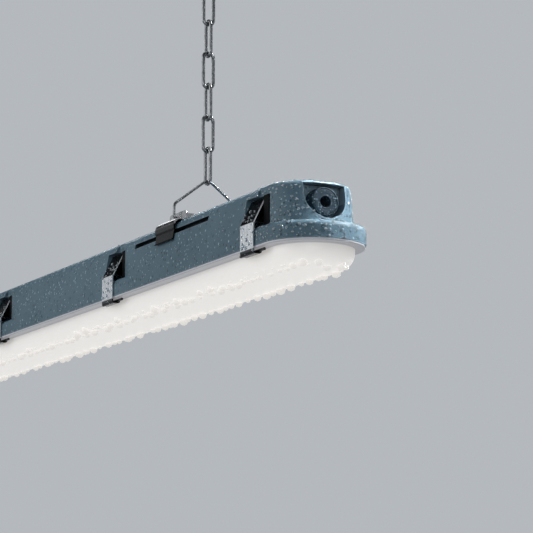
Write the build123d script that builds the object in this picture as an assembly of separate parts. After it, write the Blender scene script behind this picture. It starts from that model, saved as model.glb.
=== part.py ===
from build123d import *
import math
import os

# All heights below are measured from the bottom face of the housing rim.
# The finished part is lowered so that the ceiling plane is at Z = 0.

# Housing outline
length = 1260.0
width = 90.0
rim_height = 15.5
rim_round = 5.0
housing_height = 51.2
nose_inset = 8.5
nose_end_inset = 15.0
nose_end_flat = 9.0
nose_lean = 5.5
nose_round = 4.0
shoulder_lean = 6.3
shoulder_round = 10.0
rim_wall = 10.0
roof = 3.0
cavity_side_wall = 16.2

# Seal between housing and diffuser
groove_inset = 2.6
groove_width = 4.0
groove_depth = 4.0
gasket_height = 3.0
gasket_slack = 0.1
tongue_width = 2.4

# Opal diffuser
flange_inset = 0.4
flange_height = 1.8
flange_round = 0.9
flange_gap = 0.2
tray_inset = 9.0
diffuser_depth = 19.5
diffuser_round = 14.5
diffuser_wall = 2.2

# Cable entry recess at each end
entry_radius = 19.5
entry_roof = 2.2
entry_depth = 33.0
entry_wall = 3.0
gland_radius = 12.7
gland_length = 12.0
gland_round = 1.5
gland_roof_gap = 2.4
gland_floor_gap = 1.7
gland_stem_radius = 8.0
gland_stem_reach = 9.0
cable_radius = 4.8
nut_across_flats = 24.0
nut_thickness = 5.0
stem_slack = 0.05

# Latches along both long sides
latch_count = 5
latch_end_offset = 71.0
wall_overrun = 5.0
pocket_reach = 14.0
pocket_ramp = 32.0
lever_width = 23.0
lever_sheet = 1.2
lever_rim_gap = 0.5
lever_bend_height = 19.5
cheek_sheet = 1.0
cheek_wall_gap = 1.1
pivot_height = 39.3
pivot_inset = 10.5
pivot_pin_radius = 1.3
pivot_slack = 0.06
pin_seat_slack = 0.02
knuckle_wall = 0.9
knuckle_gap = 0.3
pin_grip = 4.0
lever_side_gap = 0.5
bracket_width = 10.0
bracket_proud = 1.0
bracket_round = 1.0
recess_headroom = 0.8
rod_radius = 1.3
rod_length = 42.0
rod_gap = 0.6
rod_cradle_gap = 0.1
rod_inset = 4.0
lever_bend = 1.5
lever_curl = 1.9

# Suspension slots, clips and hangers
slot_shift = 17.25
clip_shift = 8.0
slot_length = 150.0
slot_low = 38.0
slot_high = 42.5
slot_depth = 7.0
clip_width = 38.0
clip_sheet = 1.5
clip_gap = 0.35
clip_bend = 2.2
clip_leg_gap = 0.6
clip_leg_straight = 2.2
jaw_reach = 3.4
ear_width = 33.0
ear_offset = 29.0
ear_height = 8.1
ear_round = 3.0
ear_hole_drop = 5.0
hanger_radius = 1.25
hanger_slack = 0.1
hanger_leg_offset = 33.5
hanger_end_reach = 3.0
hanger_shoulder = 69.0
hanger_peak = 94.6
hanger_foot_bend = 2.6
hanger_shoulder_bend = 7.0
hanger_apex_bend = 4.0

# Chains, hooks and ceiling plates
link_count = 6
link_pitch = 29.8
link_wire_radius = 1.6
link_half_width = 5.0
link_gap = 0.2
hook_wire_radius = 2.0
hook_bow_radius = 9.0
hook_opening = 90.0
hook_shank = 20.0
plate_length = 72.0
plate_width = 36.0
plate_thickness = 3.0
plate_corner = 8.0
plate_hole_radius = 2.75
plate_hole_offset = 25.0

# Gear inside the housing
gear_tray_end_gap = 60.0
gear_tray_side_gap = 1.3
gear_tray_sheet = 1.2
gear_tray_height = 8.0
gear_tray_lip = 6.0
post_end_gap = 100.0
post_y = 23.0
post_radius = 4.0
screw_radius = 1.5
screw_slack = 0.05
screw_reach = 12.0
screw_head_radius = 2.8
screw_head_height = 2.0
board_count = 4
board_end_gap = 12.5
board_gap = 5.0
board_width = 36.0
board_thickness = 1.6
chips_per_board = 12
chip_size = 3.0
chip_height = 0.8
driver_length = 220.0
driver_width = 30.0
driver_height = 21.0
driver_round = 2.0
driver_tab = 10.0
driver_tab_sheet = 2.0
terminal_end_gap = 43.0
terminal_length = 24.0
terminal_width = 30.0
terminal_height = 17.0
terminal_poles = 3
terminal_mouth_radius = 2.0
terminal_mouth_depth = 6.0
wire_radius = 1.2
wire_run = 93.0
wire_height = 10.0
wire_pitch = 8.0
lead_run = 30.0
lead_bend = 6.0
lead_pitch = 5.0
lead_hole_radius = 1.6

# Worked out from the sizes above
half_length = length / 2
half_width = width / 2
nose_half_width = half_width - nose_inset
cavity_half_width = half_width - cavity_side_wall
nose_corner = nose_half_width - nose_end_flat / 2
latch_pitch = (length - 2 * latch_end_offset) / (latch_count - 1)
latch_xs = [latch_end_offset - half_length + n * latch_pitch for n in range(latch_count)]
pivot_out = half_width - pivot_inset
knuckle_radius = pivot_pin_radius + pivot_slack + knuckle_wall
pocket_back = pivot_out - knuckle_radius - knuckle_gap
seat_near = lever_width / 2 + lever_side_gap
seat_far = seat_near + bracket_width
seat_high = pivot_height + knuckle_radius + recess_headroom
pin_reach = seat_near + pin_grip
lever_out = half_width + lever_rim_gap + lever_sheet / 2
rod_out = half_width - rod_inset
flange_low = -flange_gap - flange_height
rod_height = flange_low - rod_gap - rod_radius
entry_back = half_length - entry_depth
entry_height = housing_height - entry_roof - gland_roof_gap - gland_radius
recess_height = entry_height - gland_radius - gland_floor_gap + entry_radius
slot_x = (latch_xs[-2] + latch_xs[-1]) / 2 - slot_shift
suspension_x = slot_x - clip_shift
gear_tray_half_length = half_length - gear_tray_end_gap
gear_tray_half_width = cavity_half_width - gear_tray_side_gap
gear_tray_top = gear_tray_height + gear_tray_sheet
post_x = gear_tray_half_length - post_end_gap
board_run = 2 * (gear_tray_half_length - board_end_gap) + board_gap
board_spacing = board_run / board_count
board_length = board_spacing - board_gap
terminal_x = gear_tray_half_length - terminal_end_gap - terminal_length / 2
driver_x = terminal_x - terminal_length / 2 - wire_run - driver_length / 2
board_low = gear_tray_height - board_thickness
clip_top = housing_height + clip_gap + clip_sheet
ear_hole_height = clip_top + ear_height - ear_hole_drop
jaw_height = slot_high - clip_gap - clip_sheet / 2
hanger_slope = math.atan2(hanger_peak - hanger_shoulder, hanger_leg_offset)
hanger_apex = hanger_peak - hanger_apex_bend * (1 / math.cos(hanger_slope) - 1)
first_bow = hanger_apex - hanger_radius - link_wire_radius - link_gap
hook_bow_height = first_bow + link_count * link_pitch
ceiling_height = hook_bow_height + hook_bow_radius + hook_shank + plate_thickness
wall_slope = shoulder_lean / (housing_height - rim_height)
slot_wall_out = half_width - wall_slope * (slot_low - rim_height)


def save(name, *solids):
    lowered = [Pos(0, 0, -ceiling_height) * solid for solid in solids]
    shape = lowered[0] if len(lowered) == 1 else Compound(children=lowered)
    export_step(shape, f"parts/{name}.step")


def block(x_low, x_high, y_low, y_high, z_low, z_high):
    size = Box(x_high - x_low, y_high - y_low, z_high - z_low)
    return Pos((x_low + x_high) / 2, (y_low + y_high) / 2, (z_low + z_high) / 2) * size


def stadium(inset, z_low, z_high):
    outline = SlotOverall(length - 2 * inset, width - 2 * inset)
    return Pos(0, 0, z_low) * extrude(outline, z_high - z_low)


def along_x(radius, x_low, x_high, y, z):
    return Pos((x_low + x_high) / 2, y, z) * Rot(0, 90, 0) * Cylinder(radius, x_high - x_low)


def along_z(radius, x, y, z_low, z_high):
    return Pos(x, y, (z_low + z_high) / 2) * Cylinder(radius, z_high - z_low)


def both_sides(front):
    return front, mirror(front, about=Plane.XZ)


def both_ends(right):
    return right, mirror(right, about=Plane.YZ)


def facing(latch_x):
    return 1 if latch_x > -latch_pitch / 2 else -1


# Housing, a moulded shell that is open at the bottom
def nose():
    plan = RectangleRounded(length - 2 * nose_end_inset, 2 * nose_half_width, nose_corner)
    rise = housing_height - rim_height
    slant = math.hypot(nose_lean, rise)
    leaning = extrude(Pos(0, 0, rim_height) * plan, slant, dir=(-nose_lean, 0, rise))
    body = leaning & mirror(leaning, about=Plane.YZ)
    return fillet(body.edges().group_by(Axis.Z)[-1], nose_round)


def wall_end(latch_x, side):
    if facing(latch_x) == side:
        near = latch_x + side * pocket_reach
        return near, near + side * pocket_ramp
    over = latch_x - side * wall_overrun
    return over, over


def long_wall(x_left, x_right):
    near_left, far_left = wall_end(x_left, 1)
    near_right, far_right = wall_end(x_right, -1)
    plan_points = [(near_left, 0), (near_left, -nose_half_width), (far_left, -half_width)]
    plan_points += [(far_right, -half_width), (near_right, -nose_half_width), (near_right, 0)]
    plan = extrude(make_face(Polyline(plan_points, close=True)), housing_height)
    top_half_width = half_width - shoulder_lean
    section_points = [
        (-half_width, 0),
        (-half_width, rim_height),
        (-top_half_width, housing_height),
        (0, housing_height),
        (0, 0),
    ]
    section = make_face(Polyline(section_points, close=True))
    corner = section.vertices().group_by(Axis.Y)[-1].sort_by(Axis.X)[0]
    section = fillet(corner, shoulder_round)
    prism = extrude(Plane.YZ.offset(near_left) * section, near_right - near_left)
    return plan & prism


def entry_recess():
    low = along_x(entry_radius, entry_back, half_length, 0, recess_height)
    roof_low = housing_height - entry_roof
    high = block(entry_back, half_length, -entry_radius, entry_radius, recess_height, roof_low)
    crown_high = recess_height + entry_radius
    crown = block(entry_back, half_length, -entry_radius, entry_radius, roof_low, crown_high)
    stem_radius = gland_stem_radius + stem_slack
    stem_end = entry_back - entry_wall - gland_stem_reach
    stem = along_x(stem_radius, stem_end, entry_back, 0, entry_height)
    return low + high - crown + stem


def latch_seat(x):
    ends = sorted((x - facing(x) * seat_near, x + facing(x) * seat_far))
    recess = block(*ends, -half_width, -pocket_back, rim_height, seat_high)
    return recess + pin_hole(x)


def pin_hole(x):
    seat_radius = pivot_pin_radius + pin_seat_slack
    return along_x(seat_radius, x - pin_reach, x + pin_reach, -pivot_out, pivot_height)


def suspension_slot(x):
    back = slot_wall_out - slot_depth
    ends = x - slot_length / 2, x + slot_length / 2
    return block(*ends, -half_width, -back, slot_low, slot_high)


def post_places():
    return [(x, y) for x in (-post_x, post_x) for y in (-post_y, post_y)]


def housing():
    rim = stadium(0, 0, rim_height)
    rim = fillet(rim.edges().group_by(Axis.Z)[-1], rim_round)
    shell = rim + nose()
    for x_left, x_right in zip(latch_xs[:-1], latch_xs[1:]):
        for wall in both_sides(long_wall(x_left, x_right)):
            shell += wall
    shell -= stadium(rim_wall, 0, rim_height - roof)
    cavity_end = entry_back - entry_wall
    shell -= block(
        -cavity_end, cavity_end, -cavity_half_width, cavity_half_width, 0, housing_height - roof
    )
    groove = stadium(groove_inset, 0, groove_depth)
    groove -= stadium(groove_inset + groove_width, 0, groove_depth)
    shell -= groove
    for recess in both_ends(entry_recess()):
        shell -= recess
    for x in latch_xs:
        for seat in both_sides(latch_seat(x)):
            shell -= seat
    for x in (-slot_x, slot_x):
        for slot in both_sides(suspension_slot(x)):
            shell -= slot
    for x, y in post_places():
        post = along_z(post_radius, x, y, gear_tray_top, housing_height - roof)
        hole_radius = screw_radius + screw_slack
        post -= along_z(hole_radius, x, y, gear_tray_top, gear_tray_top + screw_reach)
        shell += post
    return shell


# Seal and diffuser
def gasket():
    low = groove_depth - gasket_height
    ring = stadium(groove_inset + gasket_slack, low, groove_depth)
    return ring - stadium(groove_inset + groove_width - gasket_slack, low, groove_depth)


def diffuser():
    flange = stadium(flange_inset, flange_low, -flange_gap)
    flange = fillet(flange.edges().group_by(Axis.Z)[0], flange_round)
    tray = stadium(tray_inset, -diffuser_depth, -flange_gap)
    tray = fillet(tray.edges().group_by(Axis.Z)[0], diffuser_round)
    hollow = stadium(tray_inset + diffuser_wall, diffuser_wall - diffuser_depth, 0)
    hollow = fillet(hollow.edges().group_by(Axis.Z)[0], diffuser_round - diffuser_wall)
    tongue_inset = groove_inset + (groove_width - tongue_width) / 2
    tongue_high = groove_depth - gasket_height
    tongue = stadium(tongue_inset, -flange_gap, tongue_high)
    tongue -= stadium(tongue_inset + tongue_width, -flange_gap, tongue_high)
    return flange + tray - hollow + tongue


# Cable entry parts, made for the +X end
def gland_body():
    face = entry_back + gland_length
    disc = along_x(gland_radius, entry_back, face, 0, entry_height)
    disc = fillet(disc.edges().group_by(Axis.X)[-1], gland_round)
    stem_end = entry_back - entry_wall - gland_stem_reach
    return disc + along_x(gland_stem_radius, stem_end, entry_back, 0, entry_height)


def cable_gland():
    stem_end = entry_back - entry_wall - gland_stem_reach
    return gland_body() - along_x(cable_radius, stem_end, entry_back + gland_length, 0, entry_height)


def entry_nut():
    flats = RegularPolygon(nut_across_flats / 2, 6, major_radius=False)
    flats -= Circle(gland_stem_radius + stem_slack)
    nut_face = Plane.YZ.offset(entry_back - entry_wall)
    return extrude(nut_face * Pos(0, entry_height) * flats, -nut_thickness)


# Latch pieces, made for the front side at X = 0
def latch_lever():
    lip = rod_height - rod_radius - rod_cradle_gap - lever_sheet / 2
    hook_out = rod_out - rod_radius - rod_cradle_gap - lever_sheet / 2
    top = (-pivot_out - knuckle_radius + lever_sheet / 2, pivot_height)
    bend = (-lever_out, lever_bend_height)
    run = [top, bend, (-lever_out, lip), (-hook_out, lip), (-hook_out, rod_height)]
    start = Plane.YZ.offset(-lever_width / 2)
    line = FilletPolyline(run, radius=[lever_bend, lever_curl, lever_curl])
    sheet = extrude(start * trace(line, lever_sheet), lever_width)
    knuckle = along_x(knuckle_radius, -lever_width / 2, lever_width / 2, -pivot_out, pivot_height)
    wall_side = -pocket_back - cheek_wall_gap
    cheek_top = pivot_height - knuckle_radius / 2
    corners = [top, bend, (wall_side, lever_bend_height), (wall_side, cheek_top)]
    cheek = extrude(start * make_face(Polyline(corners, close=True)), cheek_sheet)
    far_cheek = Pos(lever_width - cheek_sheet, 0, 0) * cheek
    bore = along_x(
        pivot_pin_radius + pivot_slack, -lever_width / 2, lever_width / 2, -pivot_out, pivot_height
    )
    return sheet + knuckle + cheek + far_cheek - bore


def latch_rod():
    return along_x(rod_radius, -rod_length / 2, rod_length / 2, -rod_out, rod_height)


def latch_pin():
    return along_x(pivot_pin_radius, -pin_reach, pin_reach, -pivot_out, pivot_height)


def latch_bracket(x):
    ends = sorted((x + facing(x) * seat_near, x + facing(x) * seat_far))
    out = nose_half_width + bracket_proud
    body = block(*ends, -out, -pocket_back, rim_height, seat_high)
    front = body.edges().filter_by(Axis.Z).group_by(Axis.Y)[0]
    return fillet(front, bracket_round) - pin_hole(x)


# Suspension pieces, made at X = 0
def suspension_clip():
    leg_out = slot_wall_out + clip_leg_gap + clip_sheet / 2
    jaw_tip = slot_wall_out - jaw_reach
    strap = clip_top - clip_sheet / 2
    half_run = [(-jaw_tip, jaw_height), (-leg_out, jaw_height), (-leg_out, strap)]
    run = half_run + [(-y, z) for y, z in reversed(half_run)]
    corner = strap - jaw_height - clip_bend - clip_leg_straight
    line = FilletPolyline(run, radius=[clip_bend, corner, corner, clip_bend])
    clip = extrude(Plane.YZ.offset(-clip_width / 2) * trace(line, clip_sheet), clip_width)
    outline = RectangleRounded(ear_width, 2 * ear_height, ear_round)
    for y in (-ear_offset, ear_offset):
        ear = extrude(Plane.XZ.offset(-y) * Pos(0, clip_top) * outline, clip_sheet / 2, both=True)
        ear &= block(-ear_width, ear_width, -half_width, half_width, strap, clip_top + ear_height)
        ear -= Pos(0, y, ear_hole_height) * Rot(90, 0, 0) * Cylinder(
            hanger_radius + hanger_slack, 2 * clip_sheet
        )
        clip += ear
    edge_high = clip_top + ear_height - ear_round
    edge_low = ear_width / 2 - clip_sheet
    for side in both_ends(
        block(edge_low, ear_width / 2, -ear_offset, ear_offset, strap, edge_high)
    ):
        clip += side
    return clip


def tube(line, radius):
    return sweep(Plane(origin=line @ 0, z_dir=line % 0) * Circle(radius), path=line)


def hanger_wire():
    inner_end = ear_offset - hanger_end_reach
    half_run = [
        (0, -inner_end, ear_hole_height),
        (0, -hanger_leg_offset, ear_hole_height),
        (0, -hanger_leg_offset, hanger_shoulder),
    ]
    run = half_run + [(0, 0, hanger_peak)] + [(0, -y, z) for x, y, z in reversed(half_run)]
    bends = [hanger_foot_bend, hanger_shoulder_bend, hanger_apex_bend]
    bends += [hanger_shoulder_bend, hanger_foot_bend]
    return tube(FilletPolyline(run, radius=bends), hanger_radius)


def chain_link(number, top_bow):
    low = first_bow + (number - 1) * link_pitch
    straight = top_bow - low - 2 * link_half_width
    outline = SlotCenterToCenter(straight, 2 * link_half_width, rotation=90)
    upright = Plane.XZ if number % 2 else Plane.YZ
    line = (upright * Pos(0, (low + top_bow) / 2) * outline).face().outer_wire()
    return tube(line, link_wire_radius)


def lower_links():
    links = []
    for number in range(1, link_count):
        next_bow = first_bow + number * link_pitch
        links.append(chain_link(number, next_bow + 2 * link_wire_radius + link_gap))
    return links


def top_link():
    return chain_link(link_count, hook_bow_height + hook_wire_radius + link_wire_radius + link_gap)


def ceiling_hook():
    middle = hook_bow_height + hook_bow_radius
    bow = revolve(
        Pos(hook_bow_radius, 0, 0) * Circle(hook_wire_radius), Axis.Y, 360 - hook_opening
    )
    shank_top = ceiling_height - plate_thickness
    shank = along_z(hook_wire_radius, 0, 0, middle + hook_bow_radius, shank_top)
    return Pos(0, 0, middle) * bow + shank


def ceiling_plate():
    outline = RectangleRounded(plate_width, plate_length, plate_corner)
    for y in (-plate_hole_offset, plate_hole_offset):
        outline -= Pos(0, y) * Circle(plate_hole_radius)
    return Pos(0, 0, ceiling_height - plate_thickness) * extrude(outline, plate_thickness)


# Gear inside the housing
def board_places():
    first = -board_spacing * (board_count - 1) / 2
    return [first + n * board_spacing for n in range(board_count)]


def lead_places():
    x = driver_x - driver_length / 2 - lead_run
    return [(x, -lead_pitch / 2), (x, lead_pitch / 2)]


def driver_screw_places():
    reach = driver_length / 2 + driver_tab / 2
    return [driver_x - reach, driver_x + reach]


def gear_tray():
    half = gear_tray_half_width
    tray = block(
        -gear_tray_half_length, gear_tray_half_length, -half, half, gear_tray_height, gear_tray_top
    )
    lip = block(
        -post_x + 2 * post_radius,
        post_x - 2 * post_radius,
        -half,
        gear_tray_sheet - half,
        gear_tray_height,
        gear_tray_height + gear_tray_lip,
    )
    for edge in both_sides(lip):
        tray += edge
    holes = [(x, y, screw_radius) for x, y in post_places()]
    holes += [(x, y, lead_hole_radius) for x, y in lead_places()]
    holes += [(x, 0, screw_radius) for x in driver_screw_places()]
    for x, y, radius in holes:
        tray -= along_z(radius + screw_slack, x, y, gear_tray_height, gear_tray_top)
    return tray


def tray_screws():
    screws = []
    for x, y in post_places():
        head = along_z(screw_head_radius, x, y, gear_tray_height - screw_head_height, gear_tray_height)
        shank = along_z(screw_radius, x, y, gear_tray_height, gear_tray_top + screw_reach)
        screws.append(head + shank)
    return screws


def led_board(x):
    half = board_length / 2
    return block(
        x - half, x + half, -board_width / 2, board_width / 2, board_low, gear_tray_height
    )


def led_chips():
    step = board_length / chips_per_board
    chips = []
    for board_x in board_places():
        for n in range(chips_per_board):
            x = board_x + (n + 0.5) * step - board_length / 2
            chip = Box(chip_size, chip_size, chip_height)
            chips.append(Pos(x, 0, board_low - chip_height / 2) * chip)
    return chips


def driver():
    half = driver_length / 2
    body = block(
        driver_x - half,
        driver_x + half,
        -driver_width / 2,
        driver_width / 2,
        gear_tray_top,
        gear_tray_top + driver_height,
    )
    body = fillet(body.edges().filter_by(Axis.X), driver_round)
    ends = half + driver_tab
    body += block(
        driver_x - ends,
        driver_x + ends,
        -driver_width / 4,
        driver_width / 4,
        gear_tray_top,
        gear_tray_top + driver_tab_sheet,
    )
    for x in driver_screw_places():
        hole_radius = screw_radius + screw_slack
        body -= along_z(hole_radius, x, 0, gear_tray_top, gear_tray_top + driver_tab_sheet)
    return body


def driver_screws():
    screws = []
    seat = gear_tray_top + driver_tab_sheet
    for x in driver_screw_places():
        head = along_z(screw_head_radius, x, 0, seat, seat + screw_head_height)
        screws.append(head + along_z(screw_radius, x, 0, gear_tray_height, seat))
    return screws


def wire_ys():
    first = -wire_pitch * (terminal_poles - 1) / 2
    return [first + n * wire_pitch for n in range(terminal_poles)]


def terminal_block():
    half = terminal_length / 2
    body = block(
        terminal_x - half,
        terminal_x + half,
        -terminal_width / 2,
        terminal_width / 2,
        gear_tray_top,
        gear_tray_top + terminal_height,
    )
    z = gear_tray_top + wire_height
    for y in wire_ys():
        mouth_end = terminal_x + half - terminal_mouth_depth
        body -= along_x(terminal_mouth_radius, mouth_end, terminal_x + half, y, z)
    return body


def mains_wires():
    x_low = driver_x + driver_length / 2
    x_high = terminal_x - terminal_length / 2
    z = gear_tray_top + wire_height
    return [along_x(wire_radius, x_low, x_high, y, z) for y in wire_ys()]


def led_leads():
    x_start = driver_x - driver_length / 2
    z = gear_tray_top + wire_height
    leads = []
    for x, y in lead_places():
        run = [(x_start, y, z), (x, y, z), (x, y, gear_tray_height)]
        leads.append(tube(FilletPolyline(run, radius=lead_bend), wire_radius))
    return leads


os.makedirs("parts", exist_ok=True)

save("housing", housing())
save("gasket", gasket())
save("diffuser", diffuser())
save("cable_gland", cable_gland())
save("gland_nut", entry_nut())
save("blanking_plug", Rot(0, 0, 180) * gland_body())
save("plug_nut", Rot(0, 0, 180) * entry_nut())

lever = latch_lever()
rod = latch_rod()
pins = []
brackets = []
for index, latch_x in enumerate(latch_xs, start=1):
    brackets += both_sides(latch_bracket(latch_x))
    for side, turn in (("front", 0), ("back", 180)):
        place = Pos(latch_x, 0, 0) * Rot(0, 0, turn)
        save(f"latch_lever_{side}_{index}", place * lever)
        save(f"latch_rod_{side}_{index}", place * rod)
        pins.append(place * latch_pin())
save("latch_pins", *pins)
save("latch_brackets", *brackets)

for side, x in (("right", suspension_x), ("left", -suspension_x)):
    place = Pos(x, 0, 0)
    save(f"suspension_clip_{side}", place * suspension_clip())
    save(f"hanger_wire_{side}", place * hanger_wire())
    save(f"chain_{side}", *[place * link for link in lower_links()])
    save(f"top_link_{side}", place * top_link())
    save(f"ceiling_hook_{side}", place * ceiling_hook())
    save(f"ceiling_plate_{side}", place * ceiling_plate())

save("gear_tray", gear_tray())
save("tray_screws", *tray_screws())
for index, board_x in enumerate(board_places(), start=1):
    save(f"led_board_{index}", led_board(board_x))
save("led_chips", *led_chips())
save("led_driver", driver())
save("driver_screws", *driver_screws())
save("terminal_block", terminal_block())
save("mains_wires", *mains_wires())
save("led_leads", *led_leads())

print("ceiling height above the rim", round(ceiling_height, 2))
print("pivot", round(pivot_out, 2), round(pivot_height - ceiling_height, 2))
print("hook bow", round(hook_bow_height - ceiling_height, 2))
print("chain hinge", round(first_bow + (link_count - 1) * link_pitch - ceiling_height, 2))
print("ear hole", round(ear_hole_height - ceiling_height, 2))
print("gland axis", round(entry_height - ceiling_height, 2), "face", entry_back + gland_length)
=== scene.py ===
import bmesh
import bpy
import math
from mathutils import Matrix, Vector
from mathutils.bvhtree import BVHTree


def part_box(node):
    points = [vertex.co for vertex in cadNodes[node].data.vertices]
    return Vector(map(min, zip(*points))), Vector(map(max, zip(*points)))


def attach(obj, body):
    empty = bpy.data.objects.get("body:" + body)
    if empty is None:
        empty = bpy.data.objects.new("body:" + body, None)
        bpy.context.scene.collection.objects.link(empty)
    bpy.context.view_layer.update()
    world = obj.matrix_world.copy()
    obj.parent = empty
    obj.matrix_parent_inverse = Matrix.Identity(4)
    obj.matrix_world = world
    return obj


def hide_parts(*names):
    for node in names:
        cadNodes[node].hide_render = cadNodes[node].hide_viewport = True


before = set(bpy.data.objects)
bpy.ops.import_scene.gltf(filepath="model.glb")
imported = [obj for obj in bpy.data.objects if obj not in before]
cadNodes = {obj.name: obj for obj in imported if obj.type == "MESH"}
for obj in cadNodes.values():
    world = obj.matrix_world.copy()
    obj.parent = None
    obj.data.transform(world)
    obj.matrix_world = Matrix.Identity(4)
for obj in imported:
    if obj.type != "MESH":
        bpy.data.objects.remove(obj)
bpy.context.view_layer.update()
scene = bpy.context.scene
print("frame loaded:", len(cadNodes), "nodes")

fullRange = (0.0, 1.0)


# small helpers for node trees
def addNode(tree, kind, **settings):
    node = tree.nodes.new(kind)
    for key, value in settings.items():
        setattr(node, key, value)
    return node


def setInputs(node, **values):
    for key, value in values.items():
        node.inputs[key.replace("_", " ")].default_value = value
    return node


def startMaterial(name):
    material = bpy.data.materials.new(name)
    material.use_nodes = True
    tree = material.node_tree
    return material, tree, tree.nodes["Principled BSDF"]


def startGroup(name, inputs, outputs):
    group = bpy.data.node_groups.new(name, "ShaderNodeTree")
    for label, start in inputs.items():
        socket = group.interface.new_socket(label, in_out="INPUT", socket_type="NodeSocketFloat")
        socket.default_value = start
    for label in outputs:
        group.interface.new_socket(label, in_out="OUTPUT", socket_type="NodeSocketFloat")
    return group, addNode(group, "NodeGroupInput"), addNode(group, "NodeGroupOutput")


def useGroup(tree, group, **values):
    node = addNode(tree, "ShaderNodeGroup", node_tree=group)
    return setInputs(node, **values)


def feed(tree, node, socket, value):
    tree.links.new(value, node.inputs[socket])


def pointAxes(tree, kind="Object"):
    place = addNode(tree, "ShaderNodeTexCoord").outputs[kind]
    apart = addNode(tree, "ShaderNodeSeparateXYZ")
    feed(tree, apart, "Vector", place)
    return [apart.outputs[axis] for axis in "XYZ"]


def calc(tree, operation, first, second=0.0):
    node = addNode(tree, "ShaderNodeMath", operation=operation)
    for socket, value in zip(node.inputs, (first, second)):
        if isinstance(value, (int, float)):
            socket.default_value = value
        else:
            tree.links.new(value, socket)
    return node.outputs[0]


def plus(tree, first, second):
    return calc(tree, "ADD", first, second)


def minus(tree, first, second):
    return calc(tree, "SUBTRACT", first, second)


def times(tree, first, second):
    return calc(tree, "MULTIPLY", first, second)


def larger(tree, first, second):
    return calc(tree, "MAXIMUM", first, second)


def isBelow(tree, first, second):
    return calc(tree, "LESS_THAN", first, second)


def isAbove(tree, first, second):
    return calc(tree, "GREATER_THAN", first, second)


def unsigned(tree, value):
    return calc(tree, "ABSOLUTE", value)


def squared(tree, value):
    return calc(tree, "POWER", value, 2.0)


def spread(tree, value, source, target=fullRange):
    node = addNode(tree, "ShaderNodeMapRange")
    feed(tree, node, "Value", value)
    setInputs(node, From_Min=source[0], From_Max=source[1], To_Min=target[0], To_Max=target[1])
    return node.outputs["Result"]


def mixColour(tree, factor, first, second):
    node = addNode(tree, "ShaderNodeMix", data_type="RGBA")
    tree.links.new(factor, node.inputs[0])
    for socket, value in zip((node.inputs[6], node.inputs[7]), (first, second)):
        if isinstance(value, tuple):
            socket.default_value = (*value, 1)
        else:
            tree.links.new(value, socket)
    return node.outputs[2]


# a relief is the strength of the bump and its depth
def setRelief(tree, shader, height, relief):
    bump = addNode(tree, "ShaderNodeBump")
    setInputs(bump, Strength=relief[0], Distance=relief[1])
    feed(tree, bump, "Height", height)
    feed(tree, shader, "Normal", bump.outputs["Normal"])


# fine mist: small domes of water on a random share of the cells
mistShape = {"reach": (0.16, 0.42), "dome": 0.6, "edge": 0.05}


def makeMistGroup(shape):
    inputs = {"Cells": 700.0, "Share": 0.5}
    group, entry, leave = startGroup("fineMist", inputs, ["Height", "Mask"])
    place = addNode(group, "ShaderNodeTexCoord").outputs["Object"]
    cells = addNode(group, "ShaderNodeTexVoronoi", feature="F1")
    feed(group, cells, "Vector", place)
    feed(group, cells, "Scale", entry.outputs["Cells"])
    luck = addNode(group, "ShaderNodeSeparateColor")
    feed(group, luck, "Color", cells.outputs["Color"])
    chosen = isBelow(group, luck.outputs["Red"], entry.outputs["Share"])
    reach = spread(group, luck.outputs["Green"], fullRange, shape["reach"])
    inside = minus(group, 1.0, calc(group, "DIVIDE", cells.outputs["Distance"], reach))
    dome = calc(group, "POWER", larger(group, inside, 0.0), shape["dome"])
    height = times(group, dome, chosen)
    feed(group, leave, "Height", height)
    feed(group, leave, "Mask", isAbove(group, height, shape["edge"]))
    return group


# moulded grain: fine pitting plus slow tone changes
grainShape = {"fineDetail": 3.0, "slowDetail": 5.0, "range": (0.3, 0.7)}


def makeGrainGroup(shape):
    inputs = {"Fine": 1800.0, "Slow": 14.0}
    group, entry, leave = startGroup("mouldGrain", inputs, ["Height", "Tone"])
    place = addNode(group, "ShaderNodeTexCoord").outputs["Object"]
    layers = (("Height", "Fine", shape["fineDetail"]), ("Tone", "Slow", shape["slowDetail"]))
    for label, source, detail in layers:
        cloud = addNode(group, "ShaderNodeTexNoise")
        feed(group, cloud, "Vector", place)
        feed(group, cloud, "Scale", entry.outputs[source])
        setInputs(cloud, Detail=detail)
        feed(group, leave, label, spread(group, cloud.outputs["Fac"], shape["range"]))
    return group


# drawn steel: long streaks along one direction plus rub marks
streakShape = {
    "streakDetail": 2.0,
    "streakRange": (0.3, 0.7),
    "rubScale": 120.0,
    "rubDetail": 6.0,
    "rubRoughness": 0.65,
    "rubRange": (0.42, 0.7),
}


def makeStreakGroup(shape):
    inputs = {"Along": 30.0, "Across": 2600.0}
    group, entry, leave = startGroup("drawnSteel", inputs, ["Streak", "Rub"])
    place = addNode(group, "ShaderNodeTexCoord").outputs["Object"]
    size = addNode(group, "ShaderNodeCombineXYZ")
    for axis, source in (("X", "Across"), ("Y", "Across"), ("Z", "Along")):
        feed(group, size, axis, entry.outputs[source])
    stretched = addNode(group, "ShaderNodeVectorMath", operation="MULTIPLY")
    feed(group, stretched, 0, place)
    feed(group, stretched, 1, size.outputs["Vector"])
    streaks = addNode(group, "ShaderNodeTexNoise")
    feed(group, streaks, "Vector", stretched.outputs["Vector"])
    setInputs(streaks, Scale=1.0, Detail=shape["streakDetail"])
    rub = addNode(group, "ShaderNodeTexNoise")
    feed(group, rub, "Vector", place)
    setInputs(rub, Scale=shape["rubScale"], Detail=shape["rubDetail"])
    setInputs(rub, Roughness=shape["rubRoughness"])
    feed(group, leave, "Streak", spread(group, streaks.outputs["Fac"], shape["streakRange"]))
    feed(group, leave, "Rub", spread(group, rub.outputs["Fac"], shape["rubRange"]))
    return group


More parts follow.
